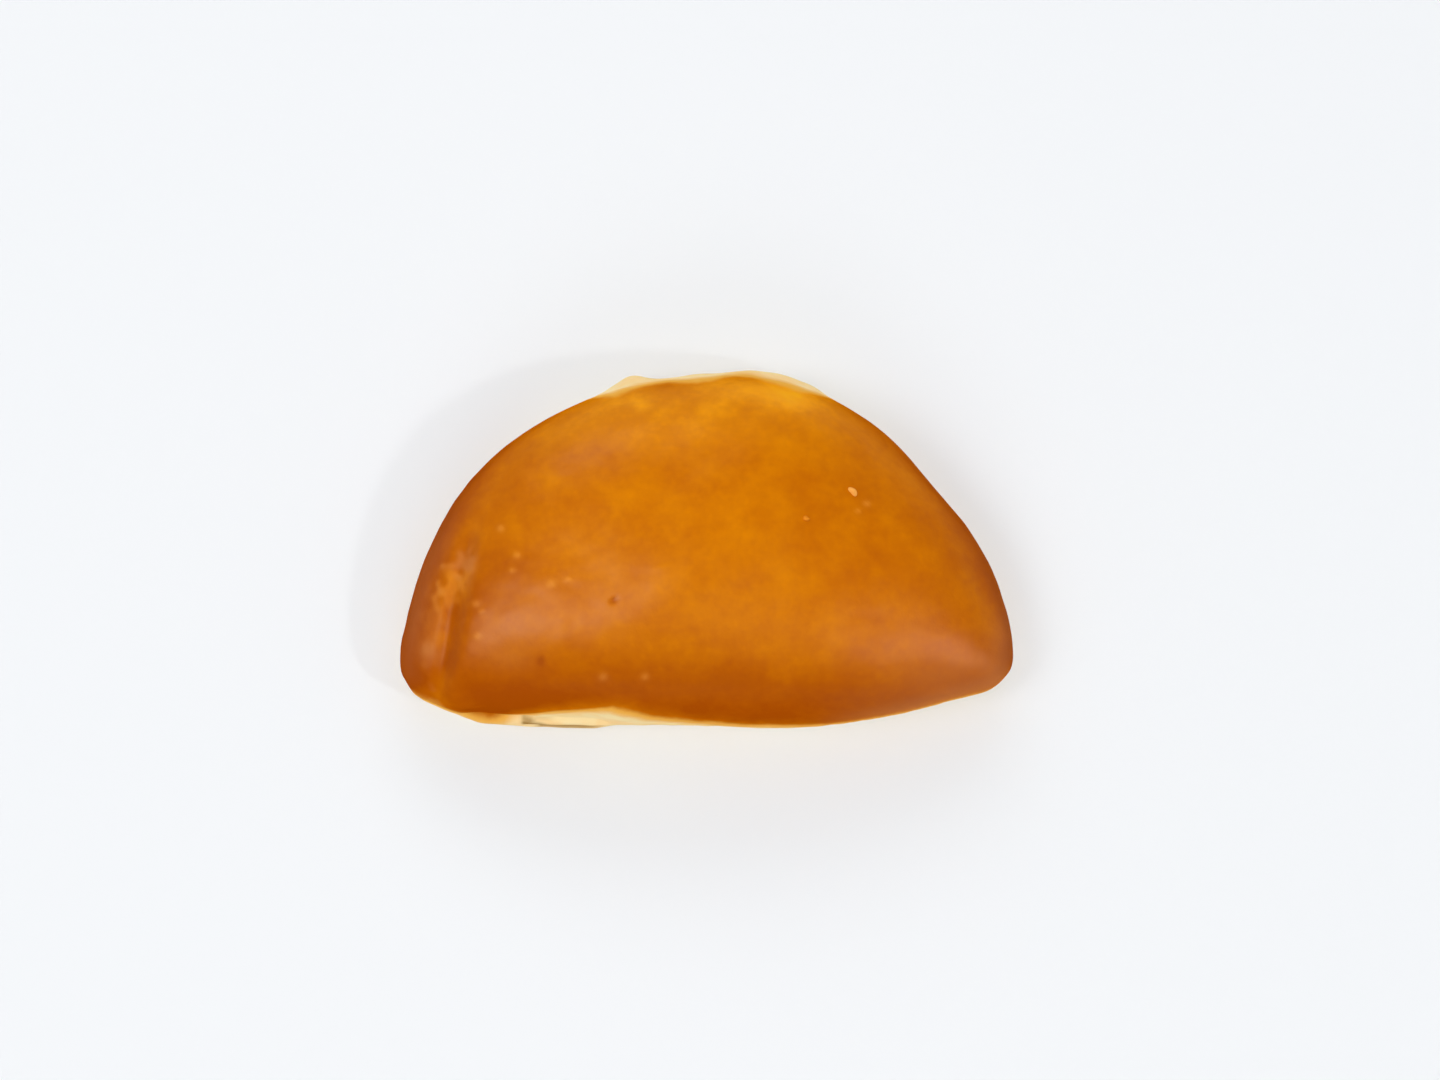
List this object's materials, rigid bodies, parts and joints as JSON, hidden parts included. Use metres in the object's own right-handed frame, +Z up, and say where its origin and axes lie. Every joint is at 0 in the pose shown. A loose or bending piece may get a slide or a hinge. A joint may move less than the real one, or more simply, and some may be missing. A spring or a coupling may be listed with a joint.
{
  "type": "cream cheese pastry",
  "caption": "Baked half-moon of soft dough folded over a filling, with a browned domed top, pale lower side and flat underside, eaten by hand.",
  "frame": {"origin": "centre of the flat underside, on the surface that the pastry rests on, at the middle of its outline's box", "axes": "+X along the length, from the grooved end to the plain end; +Y from the straight fold to the curved seam; +Z up"},
  "size_m": [0.13, 0.0776, 0.037],
  "materials": {
    "crust": "satin baked crust, golden brown on top and pale cream low on the side"
  },
  "bodies": {
    "root": {"pastry": "crust"}
  },
  "joints": []
}
